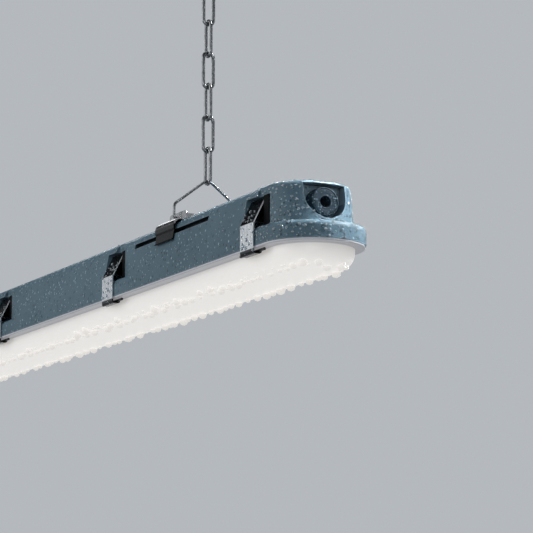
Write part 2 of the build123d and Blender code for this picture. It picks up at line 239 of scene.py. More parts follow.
fineMist = makeMistGroup(mistShape)
mouldGrain = makeGrainGroup(grainShape)
drawnSteel = makeStreakGroup(streakShape)

# housing plastic: misted slate, with a painted highlight on the edges, painted light in the cable
# entry recess and painted shade in crevices and slots
housingFinish = {
    "deep": (0.056, 0.100, 0.130),
    "light": (0.084, 0.141, 0.178),
    "grainFine": 1500.0,
    "grainSlow": 11.0,
    "grainRelief": 0.18,
    "mistTone": (0.30, 0.40, 0.46),
    "mistCells": 310.0,
    "mistShare": 0.52,
    "mistHaze": 0.85,
    "mistSlick": 0.22,
    "wetTone": (0.022, 0.038, 0.050),
    "wetCells": 230.0,
    "wetShare": 0.50,
    "wetDepth": 0.92,
    "edgeHighlightTone": (0.21, 0.29, 0.34),
    "edgeReach": 0.0016,
    "edgeFall": (0.985, 0.80),
    "edgeHighlightShare": 0.65,
    "creviceShadeTone": (0.004, 0.006, 0.008),
    "creviceReach": 0.005,
    "creviceFall": (0.46, 0.24),
    "entryLightTone": (0.22, 0.31, 0.365),
    "entryBack": 0.5966,
    "entryReach": 0.0198,
    "entryAxis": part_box("cable_gland")[0].z + 0.0190,
    "entryLightShare": 0.75,
    "slotMiddle": 0.402,
    "slotHalf": 0.0751,
    "slotLevel": -0.2610657,
    "slotRise": 0.00235,
    "slotShade": 0.85,
    "rimTop": -0.2858157,
    "wallSlope": 0.17647,
    "wallInside": 0.0444,
    "wallSkin": 0.0006,
    "samples": 4,
    "roughness": (0.46, 0.60),
    "relief": (0.6, 0.0004),
    "gloss": 0.16,
    "coat": 0.04,
    "coatRoughness": 0.12,
}


# painted light: share of a point that lies inside the cable entry recess, whose walls are lightened
def entryLightMask(tree, finish):
    x, y, z = pointAxes(tree)
    drop = calc(tree, "MINIMUM", minus(tree, z, finish["entryAxis"]), 0.0)
    square = plus(tree, squared(tree, drop), squared(tree, y))
    inside = isBelow(tree, square, finish["entryReach"] ** 2)
    outer = isAbove(tree, unsigned(tree, x), finish["entryBack"])
    return times(tree, times(tree, inside, outer), finish["entryLightShare"])


# painted shade: share of a point that lies inside a suspension slot, behind the leaning wall, which
# gets darkened
def slotShadeMask(tree, finish):
    x, y, z = pointAxes(tree)
    along = minus(tree, unsigned(tree, x), finish["slotMiddle"])
    within = isBelow(tree, unsigned(tree, along), finish["slotHalf"])
    lift = minus(tree, z, finish["slotLevel"])
    level = isBelow(tree, unsigned(tree, lift), finish["slotRise"])
    rise = minus(tree, z, finish["rimTop"])
    upright = plus(tree, unsigned(tree, y), times(tree, rise, finish["wallSlope"]))
    behind = isBelow(tree, upright, finish["wallInside"])
    inside = times(tree, times(tree, within, level), behind)
    return times(tree, inside, finish["slotShade"])


# painted highlight: share of a point that lies on an outer edge, lightened where light would catch
# it
def edgeHighlightMask(tree, finish):
    rounded = addNode(tree, "ShaderNodeBevel", samples=finish["samples"])
    setInputs(rounded, Radius=finish["edgeReach"])
    turned = addNode(tree, "ShaderNodeVectorMath", operation="DOT_PRODUCT")
    feed(tree, turned, 0, rounded.outputs["Normal"])
    feed(tree, turned, 1, addNode(tree, "ShaderNodeNewGeometry").outputs["Normal"])
    return spread(tree, turned.outputs["Value"], finish["edgeFall"], (0.0, finish["edgeHighlightShare"]))


# painted shade: share of a point that lies in a narrow crevice or a slot, from ambient occlusion,
# which gets darkened
def creviceShadeMask(tree, finish):
    shelter = addNode(
        tree, "ShaderNodeAmbientOcclusion", samples=finish["samples"], only_local=True
    )
    setInputs(shelter, Distance=finish["creviceReach"])
    crevice = spread(tree, shelter.outputs["AO"], finish["creviceFall"])
    return larger(tree, crevice, slotShadeMask(tree, finish))


def makeHousingPlastic(finish):
    material, tree, shader = startMaterial("slatePlastic")
    grain = useGroup(tree, mouldGrain, Fine=finish["grainFine"], Slow=finish["grainSlow"])
    mist = useGroup(tree, fineMist, Cells=finish["mistCells"], Share=finish["mistShare"])
    wet = useGroup(tree, fineMist, Cells=finish["wetCells"], Share=finish["wetShare"])
    tone = mixColour(tree, grain.outputs["Tone"], finish["deep"], finish["light"])
    soak = times(tree, wet.outputs["Height"], finish["wetDepth"])
    tone = mixColour(tree, soak, tone, finish["wetTone"])
    haze = times(tree, mist.outputs["Height"], finish["mistHaze"])
    tone = mixColour(tree, haze, tone, finish["mistTone"])
    # painted light: the cable entry recess is lightened
    tone = mixColour(tree, entryLightMask(tree, finish), tone, finish["entryLightTone"])
    # painted highlight: outer edges are lightened towards a pale tone
    tone = mixColour(tree, edgeHighlightMask(tree, finish), tone, finish["edgeHighlightTone"])
    # painted shade: crevices and slots are darkened towards near black
    tone = mixColour(tree, creviceShadeMask(tree, finish), tone, finish["creviceShadeTone"])
    feed(tree, shader, "Base Color", tone)
    rough = spread(tree, grain.outputs["Height"], fullRange, finish["roughness"])
    slick = times(tree, mist.outputs["Mask"], finish["mistSlick"])
    feed(tree, shader, "Roughness", minus(tree, rough, slick))
    pitting = times(tree, grain.outputs["Height"], finish["grainRelief"])
    height = plus(tree, plus(tree, mist.outputs["Height"], pitting), wet.outputs["Height"])
    setRelief(tree, shader, height, finish["relief"])
    setInputs(shader, Coat_Weight=finish["coat"], Coat_Roughness=finish["coatRoughness"])
    setInputs(shader, Specular_IOR_Level=finish["gloss"])
    return material


# lit opal: bright face, dimmer side wall and a dim flange, by height; the flange also gets a darker
# body colour as painted shade
diffuserFinish = {
    "glow": (1.0, 0.958, 0.908),
    "paleGlow": (0.93, 0.90, 0.88),
    "paleShare": 0.10,
    "sideGlow": (0.54, 0.515, 0.482),
    "flangeGlow": (0.22, 0.225, 0.25),
    "body": (0.50, 0.50, 0.495),
    "flangeShadeBody": (0.27, 0.276, 0.29),
    "flangeLow": -0.30345,
    "wallFade": (-0.0163, -0.0020),
    "flangeFade": (-0.0012, 0.0004),
    "grainFine": 900.0,
    "grainSlow": 6.0,
    "roughness": (0.30, 0.40),
    "relief": (0.1, 0.0002),
    "strength": 0.62,
}


def makeOpal(finish):
    material, tree, shader = startMaterial("litOpal")
    z = pointAxes(tree)[2]
    wall = spread(tree, z, [finish["flangeLow"] + step for step in finish["wallFade"]])
    rise = spread(tree, z, [finish["flangeLow"] + step for step in finish["flangeFade"]])
    grain = useGroup(tree, mouldGrain, Fine=finish["grainFine"], Slow=finish["grainSlow"])
    tint = times(tree, grain.outputs["Tone"], finish["paleShare"])
    lit = mixColour(tree, tint, finish["glow"], finish["paleGlow"])
    lit = mixColour(tree, wall, lit, finish["sideGlow"])
    feed(tree, shader, "Emission Color", mixColour(tree, rise, lit, finish["flangeGlow"]))
    # painted shade: the flange's body colour is darker than the face's
    feed(tree, shader, "Base Color", mixColour(tree, rise, finish["body"], finish["flangeShadeBody"]))
    rough = spread(tree, grain.outputs["Height"], fullRange, finish["roughness"])
    feed(tree, shader, "Roughness", rough)
    setRelief(tree, shader, grain.outputs["Height"], finish["relief"])
    setInputs(shader, Emission_Strength=finish["strength"])
    return material


# plain steels: pins and screws, wire, ceiling plates
steelFinishes = {
    "pinSteel": {
        "dark": (0.030, 0.031, 0.033), "light": (0.075, 0.077, 0.081),
        "rubTone": (0.16, 0.165, 0.17), "rub": 0.35,
        "roughness": (0.24, 0.36), "along": 400.0, "across": 1800.0,
    },
    "zincWire": {
        "dark": (0.165, 0.172, 0.180), "light": (0.330, 0.340, 0.350),
        "rubTone": (0.090, 0.093, 0.097), "rub": 0.55,
        "roughness": (0.16, 0.30), "along": 300.0, "across": 1400.0,
    },
    "plateSteel": {
        "dark": (0.30, 0.305, 0.31), "light": (0.42, 0.425, 0.43),
        "rubTone": (0.20, 0.20, 0.21), "rub": 0.5,
        "roughness": (0.34, 0.48), "along": 200.0, "across": 900.0,
    },
}
steelWear = {"roughness": 0.25, "relief": (0.12, 0.0001)}


def makeSteel(name, finish):
    material, tree, shader = startMaterial(name)
    steel = useGroup(tree, drawnSteel, Along=finish["along"], Across=finish["across"])
    bright = mixColour(tree, steel.outputs["Streak"], finish["dark"], finish["light"])
    worn = times(tree, steel.outputs["Rub"], finish["rub"])
    feed(tree, shader, "Base Color", mixColour(tree, worn, bright, finish["rubTone"]))
    drawn = spread(tree, steel.outputs["Streak"], fullRange, finish["roughness"])
    rough = plus(tree, drawn, times(tree, worn, steelWear["roughness"]))
    feed(tree, shader, "Roughness", rough)
    setRelief(tree, shader, steel.outputs["Streak"], steelWear["relief"])
    setInputs(shader, Metallic=1.0)
    return material


# latch steel: painted shade and dark reflection on the upper plate and foot, bare strap, and a
# painted highlight on the cut edge
latchFinish = {
    "dark": (0.44, 0.46, 0.48),
    "light": (0.64, 0.66, 0.68),
    "along": 30.0,
    "across": 2600.0,
    "darkReflection": (0.010, 0.011, 0.013),
    "darkReflectionRub": (0.035, 0.037, 0.041),
    "rub": 0.5,
    "strapLow": -0.3032,
    "strapHigh": -0.2822,
    "fadeDown": 0.0008,
    "fadeUp": 0.0010,
    "plateOut": 0.03616,
    "plateHeight": -0.2620157,
    "plateLean": 26.66,
    "edgeBand": 0.00050,
    "edgeHighlightTone": (0.80, 0.81, 0.82),
    "edgeMetal": 0.15,
    "mistCells": 430.0,
    "mistShare": 0.5,
    "streakRelief": 0.05,
    "roughness": (0.16, 0.27),
    "relief": (0.45, 0.0004),
}


def makeLatchSteel(finish):
    material, tree, shader = startMaterial("latchSteel")
    y, z = pointAxes(tree)[1:]
    steel = useGroup(tree, drawnSteel, Along=finish["along"], Across=finish["across"])
    bare = mixColour(tree, steel.outputs["Streak"], finish["dark"], finish["light"])
    rubbed = times(tree, steel.outputs["Rub"], finish["rub"])
    # painted shade and dark reflection: the upper plate and foot take a near-black steel colour
    # with rub marks
    darkReflection = mixColour(tree, rubbed, finish["darkReflection"], finish["darkReflectionRub"])
    above = spread(tree, z, (finish["strapHigh"], finish["strapHigh"] + finish["fadeUp"]))
    below = spread(tree, z, (finish["strapLow"], finish["strapLow"] - finish["fadeDown"]))
    lean = math.radians(finish["plateLean"])
    out = minus(tree, unsigned(tree, y), finish["plateOut"])
    lift = minus(tree, z, finish["plateHeight"])
    offset = plus(tree, times(tree, out, math.cos(lean)), times(tree, lift, math.sin(lean)))
    cutEdge = isBelow(tree, unsigned(tree, offset), finish["edgeBand"])
    darkReflectionShare = times(tree, larger(tree, above, below), minus(tree, 1.0, cutEdge))
    # painted highlight: the cut edge of the upper plate gets a pale, barely metallic colour
    cutEdgeHighlight = times(tree, cutEdge, above)
    plain = mixColour(tree, darkReflectionShare, bare, darkReflection)
    feed(tree, shader, "Base Color", mixColour(tree, cutEdgeHighlight, plain, finish["edgeHighlightTone"]))
    feed(tree, shader, "Metallic", spread(tree, cutEdgeHighlight, fullRange, (1.0, finish["edgeMetal"])))
    rough = spread(tree, steel.outputs["Streak"], fullRange, finish["roughness"])
    feed(tree, shader, "Roughness", rough)
    mist = useGroup(tree, fineMist, Cells=finish["mistCells"], Share=finish["mistShare"])
    streaks = times(tree, steel.outputs["Streak"], finish["streakRelief"])
    height = plus(tree, mist.outputs["Height"], streaks)
    setRelief(tree, shader, height, finish["relief"])
    return material


# clip steel: bare ears and top bend over legs and jaws darkened by painted shade and dark
# reflection
clipFinish = {
    "dark": (0.24, 0.244, 0.250),
    "light": (0.40, 0.404, 0.410),
    "along": 60.0,
    "across": 1500.0,
    "darkReflection": (0.003, 0.0032, 0.0036),
    "darkReflectionRub": (0.012, 0.0123, 0.013),
    "bareLow": -0.2535,
    "fadeDown": 0.0012,
    "roughness": (0.24, 0.38),
}


def makeClipSteel(finish):
    material, tree, shader = startMaterial("clipSteel")
    z = pointAxes(tree)[2]
    steel = useGroup(tree, drawnSteel, Along=finish["along"], Across=finish["across"])
    bare = mixColour(tree, steel.outputs["Streak"], finish["dark"], finish["light"])
    # painted shade and dark reflection: legs and jaws below the top bend take a near-black steel
    # colour
    darkReflection = mixColour(tree, steel.outputs["Rub"], finish["darkReflection"], finish["darkReflectionRub"])
    darkReflectionShare = spread(tree, z, (finish["bareLow"], finish["bareLow"] - finish["fadeDown"]))
    feed(tree, shader, "Base Color", mixColour(tree, darkReflectionShare, bare, darkReflection))
    rough = spread(tree, steel.outputs["Rub"], fullRange, finish["roughness"])
    feed(tree, shader, "Roughness", rough)
    setRelief(tree, shader, steel.outputs["Streak"], steelWear["relief"])
    setInputs(shader, Metallic=1.0)
    return material


rubberFinish = {
    "deep": (0.007, 0.017, 0.026),
    "light": (0.015, 0.032, 0.047),
    "grainFine": 2200.0,
    "grainSlow": 90.0,
    "grainRelief": 0.3,
    "mistTone": (0.17, 0.255, 0.31),
    "mistCells": 500.0,
    "mistShare": 0.85,
    "mistHaze": 0.85,
    "roughness": (0.66, 0.45),
    "relief": (0.5, 0.0004),
    "gloss": 0.12,
}


def makeRubber(finish):
    material, tree, shader = startMaterial("glandRubber")
    grain = useGroup(tree, mouldGrain, Fine=finish["grainFine"], Slow=finish["grainSlow"])
    mist = useGroup(tree, fineMist, Cells=finish["mistCells"], Share=finish["mistShare"])
    soot = mixColour(tree, grain.outputs["Tone"], finish["deep"], finish["light"])
    haze = times(tree, mist.outputs["Height"], finish["mistHaze"])
    feed(tree, shader, "Base Color", mixColour(tree, haze, soot, finish["mistTone"]))
    rough = spread(tree, mist.outputs["Mask"], fullRange, finish["roughness"])
    feed(tree, shader, "Roughness", rough)
    pitting = times(tree, grain.outputs["Height"], finish["grainRelief"])
    height = plus(tree, mist.outputs["Height"], pitting)
    setRelief(tree, shader, height, finish["relief"])
    setInputs(shader, Specular_IOR_Level=finish["gloss"])
    return material


# one recipe for the latch brackets and the plain pieces inside
mouldedFinishes = {
    "sealFoam": {
        "deep": (0.05, 0.05, 0.052), "light": (0.09, 0.09, 0.092),
        "roughness": (0.7, 0.9), "fine": 1200.0, "gloss": 0.5,
    },
    "nutNylon": {
        "deep": (0.025, 0.025, 0.027), "light": (0.04, 0.04, 0.043),
        "roughness": (0.4, 0.55), "fine": 1500.0, "gloss": 0.5,
    },
    "trayPaint": {
        "deep": (0.74, 0.74, 0.73), "light": (0.82, 0.82, 0.81),
        "roughness": (0.35, 0.5), "fine": 900.0, "gloss": 0.5,
    },
    "boardMask": {
        "deep": (0.72, 0.73, 0.72), "light": (0.80, 0.81, 0.80),
        "roughness": (0.3, 0.42), "fine": 1500.0, "gloss": 0.5,
    },
    "chipPhosphor": {
        "deep": (0.78, 0.60, 0.16), "light": (0.86, 0.70, 0.24),
        "roughness": (0.3, 0.5), "fine": 2500.0, "gloss": 0.5,
    },
    "driverShell": {
        "deep": (0.66, 0.66, 0.65), "light": (0.74, 0.74, 0.73),
        "roughness": (0.4, 0.55), "fine": 1100.0, "gloss": 0.5,
    },
    "terminalBody": {
        "deep": (0.36, 0.37, 0.38), "light": (0.44, 0.45, 0.46),
        "roughness": (0.4, 0.55), "fine": 1300.0, "gloss": 0.5,
    },
    "wireSleeve": {
        "deep": (0.55, 0.08, 0.05), "light": (0.66, 0.12, 0.08),
        "roughness": (0.35, 0.5), "fine": 2000.0, "gloss": 0.5,
    },
    # painted shade: the latch brackets are near black with little gloss, a dark block standing for
    # the shaded pocket beside each lever
    "bracketShadeBlack": {
        "deep": (0.003, 0.0034, 0.004), "light": (0.006, 0.0065, 0.0075),
        "roughness": (0.5, 0.65), "fine": 1500.0, "gloss": 0.03,
    },
}
mouldedGrain = {"slow": 40.0, "relief": (0.2, 0.0002)}


def makeMoulded(name, finish):
    material, tree, shader = startMaterial(name)
    grain = useGroup(tree, mouldGrain, Fine=finish["fine"], Slow=mouldedGrain["slow"])
    tone = mixColour(tree, grain.outputs["Tone"], finish["deep"], finish["light"])
    feed(tree, shader, "Base Color", tone)
    rough = spread(tree, grain.outputs["Height"], fullRange, finish["roughness"])
    feed(tree, shader, "Roughness", rough)
    setRelief(tree, shader, grain.outputs["Height"], mouldedGrain["relief"])
    setInputs(shader, Specular_IOR_Level=finish["gloss"])
    return material


# water: clear beads on the housing and latches; beads under the diffuser get a painted glow
waterFinishes = {
    "clearBead": {
        "tint": (0.42, 0.53, 0.59), "clear": (0.64, 0.73, 0.78),
        "passing": 0.78, "glow": 0.0, "coat": 1.0, "rough": 0.03,
    },
    "litBead": {
        "tint": (0.30, 0.30, 0.295), "clear": (0.34, 0.34, 0.335),
        "passing": 0.10, "glow": 0.58, "coat": 0.0, "rough": 0.5,
    },
}
waterGrain = {"fine": 600.0, "slow": 200.0, "bending": 1.333}


def makeWater(name, finish):
    material, tree, shader = startMaterial(name)
    grain = useGroup(tree, mouldGrain, Fine=waterGrain["fine"], Slow=waterGrain["slow"])
    clear = mixColour(tree, grain.outputs["Tone"], finish["tint"], finish["clear"])
    feed(tree, shader, "Base Color", clear)
    setInputs(shader, Transmission_Weight=finish["passing"], IOR=waterGrain["bending"])
    setInputs(shader, Roughness=finish["rough"], Coat_Weight=finish["coat"])
    # painted light: beads glow with the diffuser's colour, standing for its light passing through
    # them
    setInputs(shader, Emission_Color=(*diffuserFinish["glow"], 1), Emission_Strength=finish["glow"])
    return material


finishes = {
    "slatePlastic": makeHousingPlastic(housingFinish),
    "litOpal": makeOpal(diffuserFinish),
    "glandRubber": makeRubber(rubberFinish),
    "latchSteel": makeLatchSteel(latchFinish),
    "clipSteel": makeClipSteel(clipFinish),
}
for makeFinish, finishPlans in (
    (makeMoulded, mouldedFinishes), (makeWater, waterFinishes), (makeSteel, steelFinishes),
):
    for finishName, finishPlan in finishPlans.items():
        finishes[finishName] = makeFinish(finishName, finishPlan)

# a node takes the finish of the longest start of its name
nodeFinishes = {
    "housing": "slatePlastic",
    "gasket": "sealFoam",
    "diffuser": "litOpal",
    "cable_gland": "glandRubber",
    "blanking_plug": "glandRubber",
    "gland_nut": "nutNylon",
    "plug_nut": "nutNylon",
    "latch_lever": "latchSteel",
    "latch_brackets": "bracketShadeBlack",
    "latch_rod": "pinSteel",
    "latch_pins": "pinSteel",
    "suspension_clip": "clipSteel",
    "hanger_wire": "zincWire",
    "chain": "zincWire",
    "top_link": "zincWire",
    "ceiling_hook": "zincWire",
    "ceiling_plate": "plateSteel",
    "gear_tray": "trayPaint",
    "tray_screws": "pinSteel",
    "led_board": "boardMask",
    "led_chips": "chipPhosphor",
    "led_driver": "driverShell",
    "driver_screws": "pinSteel",
    "terminal_block": "terminalBody",
    "mains_wires": "wireSleeve",
    "led_leads": "wireSleeve",
}
for nodeName, node in cadNodes.items():
    start = max((key for key in nodeFinishes if nodeName.startswith(key)), key=len)
    node.data.materials.clear()
    node.data.materials.append(finishes[nodeFinishes[start]])
print("finishes made:", len(finishes))


# small helpers for meshes
def closeMesh(name, build):
    mesh = bpy.data.meshes.new(name)
    build.to_mesh(mesh)
    build.free()
    return mesh


def placeMesh(name, mesh):
    piece = bpy.data.objects.new(name, mesh)
    scene.collection.objects.link(piece)
    print(name, len(mesh.polygons), "faces")
    return piece


# the faces of a CAD node that beads may sit on, as a copy to scatter on
def outerSkin(name, source, keepFace):
    skin = bmesh.new()
    skin.from_mesh(source.data)
    hidden = [face for face in skin.faces if not keepFace(face.calc_center_median(), face.normal)]
    bmesh.ops.delete(skin, geom=hidden, context="FACES")
    return bpy.data.objects.new(name, closeMesh(name, skin))


def shadowTree(names):
    points, triangles = [], []
    for name in names:
        mesh = cadNodes[name].data
        start = len(points)
        points += [vertex.co.copy() for vertex in mesh.vertices]
        triangles += [[start + corner for corner in face.vertices] for face in mesh.polygons]
    return BVHTree.FromPolygons(points, triangles)


# beads of water scattered over a skin, each a small flattened ball
beadShape = {"segments": 8, "rings": 4, "sizeSeed": 7}
beadInputs = {
    "Spacing": 0.003,
    "Density": 4000.0,
    "Smallest": 0.0006,
    "Largest": 0.002,
    "Height": 0.6,
    "Crowding": 2.0,
    "From X": -9.0,
    "To X": 9.0,
    "Bare Run": 0.0,
    "Bare Reach": 0.0,
    "Share": 1.0,
}


# points to leave out: past either end, or over the bare middle of the face
def outsideMask(tree, entry):
    place = addNode(tree, "GeometryNodeInputPosition")
    apart = addNode(tree, "ShaderNodeSeparateXYZ")
    feed(tree, apart, "Vector", place.outputs["Position"])
    x, y = apart.outputs["X"], apart.outputs["Y"]
    before = isBelow(tree, x, entry.outputs["From X"])
    after = isAbove(tree, x, entry.outputs["To X"])
    beyond = larger(tree, minus(tree, unsigned(tree, x), entry.outputs["Bare Run"]), 0.0)
    away = calc(tree, "SQRT", plus(tree, squared(tree, beyond), squared(tree, y)))
    bare = isBelow(tree, away, entry.outputs["Bare Reach"])
    return larger(tree, larger(tree, before, after), bare)


# one size for each bead, with more small ones as the crowding grows
def beadSize(tree, entry, shape):
    luck = addNode(tree, "FunctionNodeRandomValue", data_type="FLOAT")
    feed(tree, luck, "Seed", plus(tree, entry.outputs["Seed"], shape["sizeSeed"]))
    share = calc(tree, "POWER", luck.outputs["Value"], entry.outputs["Crowding"])
    sizeSpan = minus(tree, entry.outputs["Largest"], entry.outputs["Smallest"])
    radius = plus(tree, entry.outputs["Smallest"], times(tree, share, sizeSpan))
    size = addNode(tree, "ShaderNodeCombineXYZ")
    feed(tree, size, "X", radius)
    feed(tree, size, "Y", radius)
    feed(tree, size, "Z", times(tree, radius, entry.outputs["Height"]))
    return size.outputs["Vector"]


def makeBeadTree(inputs, shape):
    tree = bpy.data.node_groups.new("beadScatter", "GeometryNodeTree")
    sockets = tree.interface
    sockets.new_socket("Geometry", in_out="INPUT", socket_type="NodeSocketGeometry")
    for label, start in inputs.items():
        socket = sockets.new_socket(label, in_out="INPUT", socket_type="NodeSocketFloat")
        socket.default_value = start
    sockets.new_socket("Seed", in_out="INPUT", socket_type="NodeSocketInt")
    sockets.new_socket("Finish", in_out="INPUT", socket_type="NodeSocketMaterial")
    sockets.new_socket("Geometry", in_out="OUTPUT", socket_type="NodeSocketGeometry")
    entry, leave = addNode(tree, "NodeGroupInput"), addNode(tree, "NodeGroupOutput")

    points = addNode(tree, "GeometryNodeDistributePointsOnFaces", distribute_method="POISSON")
    feed(tree, points, "Mesh", entry.outputs["Geometry"])
    feed(tree, points, "Distance Min", entry.outputs["Spacing"])
    feed(tree, points, "Density Max", entry.outputs["Density"])
    feed(tree, points, "Seed", entry.outputs["Seed"])

    chance = addNode(tree, "FunctionNodeRandomValue", data_type="FLOAT")
    feed(tree, chance, "Seed", entry.outputs["Seed"])
    spare = isAbove(tree, chance.outputs["Value"], entry.outputs["Share"])
    thin = addNode(tree, "GeometryNodeDeleteGeometry", domain="POINT")
    feed(tree, thin, "Geometry", points.outputs["Points"])
    feed(tree, thin, "Selection", larger(tree, outsideMask(tree, entry), spare))

    bead = addNode(tree, "GeometryNodeMeshUVSphere")
    setInputs(bead, Segments=shape["segments"], Rings=shape["rings"], Radius=1.0)
    smooth = addNode(tree, "GeometryNodeSetShadeSmooth")
    feed(tree, smooth, "Geometry", bead.outputs["Mesh"])
    scatter = addNode(tree, "GeometryNodeInstanceOnPoints")
    feed(tree, scatter, "Points", thin.outputs["Geometry"])
    feed(tree, scatter, "Instance", smooth.outputs["Geometry"])
    feed(tree, scatter, "Rotation", points.outputs["Rotation"])
    feed(tree, scatter, "Scale", beadSize(tree, entry, shape))
    real = addNode(tree, "GeometryNodeRealizeInstances")
    feed(tree, real, "Geometry", scatter.outputs["Instances"])
    paint = addNode(tree, "GeometryNodeSetMaterial")
    feed(tree, paint, "Geometry", real.outputs["Geometry"])
    feed(tree, paint, "Material", entry.outputs["Finish"])
    feed(tree, leave, "Geometry", paint.outputs["Geometry"])
    return tree


beadScatter = makeBeadTree(beadInputs, beadShape)


# beads that would sit in the way of a moving piece are taken off again
def dropBeads(mesh, keepBead):
    corners = beadShape["segments"] * (beadShape["rings"] - 1) + 2
    beads = bmesh.new()
    beads.from_mesh(mesh)
    beads.verts.ensure_lookup_table()
    spare = []
    for start in range(0, len(beads.verts), corners):
        bead = beads.verts[start:start + corners]
        if not keepBead(sum((vertex.co for vertex in bead), Vector()) / corners):
            spare += bead
    bmesh.ops.delete(beads, geom=spare, context="VERTS")
    beads.to_mesh(mesh)
    beads.free()


def scatterBeads(name, skin, body, plan, keepBead):
    modifier = skin.modifiers.new(name, "NODES")
    modifier.node_group = beadScatter
    for item in beadScatter.interface.items_tree:
        if item.in_out == "INPUT" and item.name in plan:
            value = plan[item.name]
            modifier[item.identifier] = finishes[value] if item.name == "Finish" else value
    scene.collection.objects.link(skin)
    graph = bpy.context.evaluated_depsgraph_get()
    mesh = bpy.data.meshes.new_from_object(skin.evaluated_get(graph))
    skin.modifiers.clear()
    bpy.data.objects.remove(skin)
    dropBeads(mesh, keepBead)
    beads = placeMesh(name, mesh)
    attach(beads, body)


endBeads = {
    "Spacing": 0.0030, "Density": 90000.0, "Smallest": 0.0006, "Largest": 0.0017,
    "Height": 0.62, "Crowding": 1.3, "From X": 0.545, "To X": 0.7, "Share": 1.0,
    "Seed": 4, "Finish": "clearBead",
}
wallBeads = {
    "Spacing": 0.0036, "Density": 60000.0, "Smallest": 0.0005, "Largest": 0.0014,
    "Height": 0.62, "Crowding": 2.0, "From X": -0.545, "To X": 0.545, "Share": 0.14,
    "Seed": 5, "Finish": "clearBead",
}
diffuserDrops = {
    "Spacing": 0.0100, "Density": 90000.0, "Smallest": 0.0022, "Largest": 0.0046,
    "Height": 1.0, "Crowding": 1.2, "Bare Run": 0.585, "Bare Reach": 0.0205, "Share": 1.0,
    "Seed": 11, "Finish": "litBead",
}
diffuserBeads = {
    "Spacing": 0.0042, "Density": 90000.0, "Smallest": 0.0008, "Largest": 0.0017,
    "Height": 0.85, "Crowding": 1.5, "Bare Run": 0.585, "Bare Reach": 0.0205, "Share": 0.6,
    "Seed": 12, "Finish": "litBead",
}
latchBeads = {
    "Spacing": 0.0029, "Density": 60000.0, "Smallest": 0.0005, "Largest": 0.0019,
    "Height": 0.7, "Crowding": 1.2, "Seed": 21, "Finish": "clearBead",
}
skinPlan = {
    "airGap": 0.0006,
    "airReach": 0.2,
    "downward": -0.85,
    "faceRise": 0.010,
    "latchOutward": 0.3,
    "knuckle": 0.009,
}
shellShade = shadowTree(["housing", "diffuser"])
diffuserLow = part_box("diffuser")[0].z


def facesOpenAir(centre, normal):
    start = centre + normal * skinPlan["airGap"]
    return shellShade.ray_cast(start, normal, skinPlan["airReach"])[0] is None


def diffuserUnderside(centre, normal):
    if normal.z >= skinPlan["downward"] or centre.z >= diffuserLow + skinPlan["faceRise"]:
        return False
    return facesOpenAir(centre, normal)


# the clips wipe the top and the slots along their travel
wipedPath = {"travel": 0.049, "low": -0.2712}
clipPaths = [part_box(f"suspension_clip_{side}") for side in ("left", "right")]


def clearOfClips(centre):
    if centre.z < wipedPath["low"]:
        return True
    reach = wipedPath["travel"]
    return not any(low.x - reach < centre.x < high.x + reach for low, high in clipPaths)


housingSkins = {
    "wallBeads": wallBeads,
    "endBeads_near": endBeads,
    "endBeads_far": dict(endBeads, **{"From X": -endBeads["To X"], "To X": -endBeads["From X"]}),
}
for beadName, beadPlan in housingSkins.items():
    skin = outerSkin(beadName + "_skin", cadNodes["housing"], facesOpenAir)
    scatterBeads(beadName, skin, "fixture", beadPlan, clearOfClips)
diffuserSkins = {"diffuserDrops": diffuserDrops, "diffuserBeads": diffuserBeads}
for beadName, beadPlan in diffuserSkins.items():
    skin = outerSkin(beadName + "_skin", cadNodes["diffuser"], diffuserUnderside)
    scatterBeads(beadName, skin, "fixture", beadPlan, lambda centre: True)


# a lever's outer face, below the knuckle that turns in the housing's pocket
def wetLatch(side, index):
    lever = f"latch_lever_{side}_{index}"
    outward = -1 if side == "front" else 1
    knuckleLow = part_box(lever)[1].z - skinPlan["knuckle"]
    skin = outerSkin(
        lever + "_skin", cadNodes[lever],
        lambda centre, normal: normal.y * outward > skinPlan["latchOutward"],
    )
    plan = dict(latchBeads, Seed=latchBeads["Seed"] + int(index) * 2 + outward)
    scatterBeads(
        f"latchBeads_{side}_{index}", skin, f"latch_{side}_{index}", plan,
        lambda centre: centre.z < knuckleLow,
    )


for nodeName in cadNodes:
    if nodeName.startswith("latch_lever"):
        wetLatch(*nodeName.split("_")[2:])


# cable gland: a turned rubber grommet with a raised ring
glandPlan = {
    "rings": 1,
    "ringDepth": 0.00022,
    "ringSteps": (0.10, 0.24, 0.80, 0.94),
    "dish": 0.0005,
    "dishShare": 0.7,
    "lipBack": 0.0004,
    "lipOut": 0.0005,
    "lipReach": 0.0012,
    "edgeRound": 0.0015,
    "edgeSteps": 4,
    "flangeStep": 0.001,
    "turns": 56,
    "holeRadius": 0.0048,
    "sharpAngle": 40.0,
    "touching": 1e-5,
    "weld": 1e-6,
}


# the front of the gland as pairs of X and radius, from the hole to the rim
def glandFront(plan, face, outer):
    hole, dish, depth = plan["holeRadius"], plan["dish"], plan["ringDepth"]
    profile = [(face - dish, hole), (face - dish + plan["lipBack"], hole + plan["lipOut"])]
    inner = hole + plan["lipReach"]
    step = (outer - plan["edgeRound"] - inner) / plan["rings"]
    for ring in range(plan["rings"]):
        start = inner + step * ring
        top = face - dish * (1 - (ring + 0.5) / plan["rings"]) * plan["dishShare"]
        heights = (top - depth, top, top, top - depth)
        profile += [(x, start + step * part) for x, part in zip(heights, plan["ringSteps"])]
    for corner in range(plan["edgeSteps"] + 1):
        angle = math.radians(90 - corner * 90 / plan["edgeSteps"])
        back = plan["edgeRound"] * (1 - math.sin(angle))
        profile.append((face - back, outer - plan["edgeRound"] * (1 - math.cos(angle))))
    return profile


